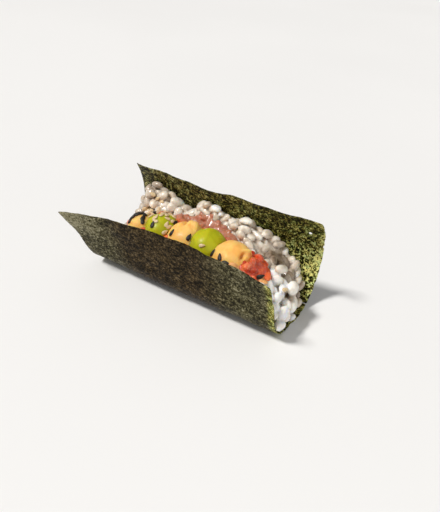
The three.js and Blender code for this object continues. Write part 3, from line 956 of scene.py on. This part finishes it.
def crests(made, rounds):
    """How far each point of a mesh stands out from its surroundings, in millimetres."""
    points, _ = mesh_arrays(made)
    start, end = read(made.data.edges, "vertices", 2, np.int32).T
    start, end = np.concatenate([start, end]), np.concatenate([end, start])
    neighbours = np.bincount(start, minlength=len(points))[:, None]
    smooth = points
    for _ in range(rounds):
        total = np.stack([np.bincount(start, smooth[end, axis], len(points)) for axis in range(3)], axis=1)
        smooth = 0.5 * smooth + 0.5 * total / neighbours
    return ((points - smooth) * read(made.data.vertices, "normal", 3)).sum(axis=1)


def thin_out(made, most):
    """Collapses a mesh's flattest edges until it has at most so many triangles."""
    triangles = len(mesh_arrays(made)[1])
    if triangles <= most:
        return
    decimate = made.modifiers.new("decimate", "DECIMATE")
    decimate.ratio = most / triangles
    apply_modifiers(made)


def nearest_values(points, middles, long, values):
    """For each point, the value of the grain whose axis is nearest."""
    tree = KDTree(3 * len(middles))
    for index, (middle, way) in enumerate(zip(middles, long)):
        for step in (-GRAIN_ENDS, 0, GRAIN_ENDS):
            tree.insert(middle + step * way, index)
    tree.balance()
    return [values[tree.find(point)[1]] for point in points]


def grain_tone_with_painted_light(point, jitter):
    """How white a grain is: 1 at the near end by painted light, warmer along the rear, greyest behind the
    tuna and greyer at the left end by painted shade.
    """
    x, y, _ = point
    # near is painted light; clear and far are painted shade
    near = smoothstep(x, 33, 41) * smoothstep(-y, -9, 1)
    clear = float(shaded_clump_weight(np.array([point]))[0])
    far = smoothstep(-x, 22, 32)
    return float(np.clip(0.52 + 0.42 * near - 0.72 * clear - 0.28 * far + jitter, 0, 1))


# ---------------- the tuna


def make_tuna(material):
    """The strip with chopped bits lying on it, melted into one skin."""
    points, faces = mesh_arrays(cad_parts["tuna"])
    at, out = scattered(points, faces, TUNA_BITS["tries"])
    upper = out[:, 2] > 0.05
    at, out = at[upper], out[upper]
    kept = spaced(at, TUNA_BITS["spacing"], TUNA_BITS["count"])
    sphere, sphere_faces = round_shape(16, 10)
    boxy = np.sign(sphere) * np.abs(sphere) ** 0.55
    bits, middles, tones = [(points, faces.tolist())], [], []
    for index in kept:
        half = rng.uniform(TUNA_BITS["least"], TUNA_BITS["most"])
        turn, _ = np.linalg.qr(rng.normal(size=(3, 3)))
        sunk = 1.1 * smoothstep(-at[index, 1], 8, 11) * smoothstep(-at[index, 0], -26, -20)
        sunk += 0.4 * smoothstep(at[index, 1], 0, 4)
        middle = at[index] - out[index] * (rng.uniform(0.3, 1.2) + sunk)
        bits.append((middle + (boxy * half) @ turn, sphere_faces))
        middles.append(middle)
        tones.append(rng.uniform(0.1, 0.9))
    made = remeshed("tuna_tartare", *joined(bits), *TUNA_REMESH)
    thin_out(made, TUNA_TRIANGLES)
    skin, _ = mesh_arrays(made)
    middles = np.array(middles)
    add_attribute(made, "tone", nearest_values(skin, middles, np.zeros_like(middles), tones))
    rear = smoothstep(skin[:, 1], 0, 4) * smoothstep(-skin[:, 0], -24, -16)
    pinkish = smoothstep(noise(skin, 4.5, 81), -0.5, 0.6)
    add_attribute(made, "pale", 0.92 * rear + 0.3 * pinkish * (1 - rear))
    finish_piece(made, material, "tuna", "tuna")
    return made


# ---------------- the dollops


def bearing(azimuth, elevation):
    """A direction from its two angles in degrees."""
    a, e = math.radians(azimuth), math.radians(elevation)
    return np.array([math.cos(e) * math.cos(a), math.cos(e) * math.sin(a), math.sin(e)])


def dollop_radius(dollop, ways):
    """How far the bare dollop reaches in some directions from its middle."""
    upright = np.where(ways[:, 2] > 0, dollop["up"], DOLLOP_FOOT)
    halves = np.stack([np.full(len(ways), half) for half in dollop["half"]] + [upright], axis=1)
    return 1 / np.linalg.norm(ways / halves, axis=1)


def fold_height(ways, fold):
    """Height of a soft fold at some directions from a dollop's middle."""
    azimuth, elevation, turn, along_it, across_it, height = fold
    peak = bearing(azimuth, elevation)
    east = bearing(azimuth + 90, 0)
    north = np.cross(peak, east)
    a = np.degrees(np.arctan2(ways @ east, ways @ peak))
    b = np.degrees(np.arctan2(ways @ north, ways @ peak))
    turned = math.radians(turn)
    long = a * math.cos(turned) + b * math.sin(turned)
    short = b * math.cos(turned) - a * math.sin(turned)
    return height * np.exp(-((long / along_it) ** 2) - (short / across_it) ** 2)


def make_dollop(dollop, following, material, slot):
    """A squeezed dollop with its tip and folds, pressed against the one that follows it."""
    sphere, faces = round_shape(112, 80)
    ways = np.stack([sphere[:, 2], sphere[:, 1], sphere[:, 0]], axis=1)
    azimuth, elevation, length = dollop["tip"]
    away = np.arccos(np.clip(ways @ bearing(azimuth, elevation), -1, 1)) / math.radians(TIP_WIDTH)
    folds = sum(fold_height(ways, fold) for fold in FOLDS[dollop["node"]])
    reach = dollop_radius(dollop, ways) + length * np.exp(-(away**2)) + folds
    points = np.array(dollop["at"]) + ways * reach[:, None]
    points += ways * summed_noise(points, DOLLOP_SWELLS)[:, None]
    if following:
        points = pressed_back(points, following)
    flipped = [face[::-1] for face in faces]
    made = add_mesh(dollop["node"] + "_cream", points, flipped)
    # the dents of the folds, where painted shade darkens the cream
    add_attribute(made, "painted_fold_shade", smoothstep(-folds, 0.2, 1.2))
    finish_piece(made, material, slot, dollop["node"])
    return made


def pressed_back(points, neighbour):
    """Points that are inside the next dollop, moved out onto its skin."""
    middle = np.array(neighbour["at"])
    out = points - middle
    distance = np.linalg.norm(out, axis=1)
    ways = unit(out)
    skin = dollop_radius(neighbour, ways) + 0.05
    return np.where((distance < skin)[:, None], middle + ways * skin[:, None], points)


# ---------------- sesame and drops


def make_drops(material, ground):
    """Small lumps, flattened onto what they lie on."""
    sphere, faces = round_shape(20, 14)
    flipped = [face[::-1] for face in faces]
    drops = []
    for across, down, radius in DROPS:
        hit, normal = (np.array(found) for found in struck((across, down), ground))
        lump = sphere * (1 + 0.18 * noise(sphere, 0.8, 90 + len(drops)))[:, None]
        flat = lump - 0.4 * (lump @ normal)[:, None] * normal
        drops.append((hit + 0.2 * radius * normal + radius * flat, flipped))
    made = add_mesh("chilli_drops", *joined(drops))
    finish_piece(made, material, "chilli_mayonnaise")


def seed_shape():
    """A sesame seed of unit half sizes: flat, and drawn to a point at one end."""
    sphere, faces = round_shape(14, 9)
    x, y, z = sphere.T
    width = (1 - 0.42 * x) * (1 - 0.25 * np.maximum(x, 0) ** 2)
    return np.stack([x, y * width, z * (1 - 0.25 * x)], axis=1), faces


def make_seeds(name, slot, places, ground):
    """Seeds lying on the filling, each turned as it shows in the reference view."""
    half, *look = SEEDS[name]
    right, up, _ = camera_axes()
    shape, faces = seed_shape()
    seeds = []
    for across, down, turn in places:
        hit, normal = struck((across, down), ground)
        lie = right * math.cos(math.radians(turn)) + up * math.sin(math.radians(turn))
        long = (lie - normal * lie.dot(normal)).normalized()
        wide = normal.cross(long)
        size = rng.normal(1, 0.06) * np.array(half)
        axes = np.array([long, wide, normal])
        seeds.append((np.array(hit + normal * SEED_LIFT) + (shape * size) @ axes, faces))
    made = add_mesh(name, *joined(seeds))
    finish_piece(made, seed_finish(name, *look), slot)


# ---------------- stage and lights


def make_stage():
    finish = Finish("floor", Roughness=0.6, Specular_IOR_Level=0.3)
    cloud = finish.noise(400, 2)
    finish.set("Base Color", finish.ramp(cloud, (0.4, (0.86, 0.86, 0.86)), (0.6, (0.88, 0.88, 0.88))))
    sides = ((-1, -1), (1, -1), (1, 1), (-1, 1))
    corners = [(FLOOR_HALF * x, FLOOR_HALF * y, FLOOR_LEVEL) for x, y in sides]
    floor = add_mesh("floor", corners, [(0, 1, 2, 3)])
    floor.data.materials.append(finish.material)


def make_sun(name, towards, strength, softness, colour):
    """A distant light that comes from a direction, softness in degrees across."""
    data = bpy.data.lights.new(name, "SUN")
    data.energy = strength
    data.angle = math.radians(softness)
    data.color = colour
    light = bpy.data.objects.new(name, data)
    light.rotation_mode = "QUATERNION"
    light.rotation_quaternion = Vector(towards).to_track_quat("Z", "Y")
    bpy.context.collection.objects.link(light)


def make_world():
    """A pale studio: bright around the horizon and dimmer overhead."""
    world = bpy.data.worlds.new("world")
    world.use_nodes = True
    tree = world.node_tree
    way = tree.nodes.new("ShaderNodeTexCoord")
    split = tree.nodes.new("ShaderNodeSeparateXYZ")
    ramp = tree.nodes.new("ShaderNodeValToRGB")
    tree.links.new(way.outputs["Generated"], split.inputs["Vector"])
    tree.links.new(split.outputs["Z"], ramp.inputs["Fac"])
    tree.links.new(ramp.outputs["Color"], tree.nodes["Background"].inputs["Color"])
    stops = [(height, [level * part for part in WORLD_TINT]) for height, level in WORLD_LEVELS]
    set_stops(ramp.color_ramp, stops)
    bpy.context.scene.world = world


def make_lights():
    for name, settings in SUNS.items():
        make_sun(name, *settings)
    make_world()
    bpy.context.scene.view_settings.view_transform = "Standard"


# ---------------- the whole roll

make_camera()
make_stage()
make_lights()

creams = {slot: cream_finish(slot, *look) for slot, look in CREAMS.items()}
wall = make_nori(nori_finish())
tuna = make_tuna(tuna_finish())
dollops = []
for dollop, following in itertools.zip_longest(DOLLOPS, DOLLOPS[1:]):
    slot = dollop["node"].split("_")[1] + "_mayonnaise"
    dollops.append(make_dollop(dollop, following, creams[slot], slot))
toppings = tree_of(tuna, *dollops)
ground = tree_of(tuna, make_rice(rice_finish(), wall, toppings), *dollops)
make_drops(drop_finish(), ground)
make_seeds("sesame_black", "nori", BLACK_SEEDS, ground)
make_seeds("sesame_white", "rice", WHITE_SEEDS, ground)
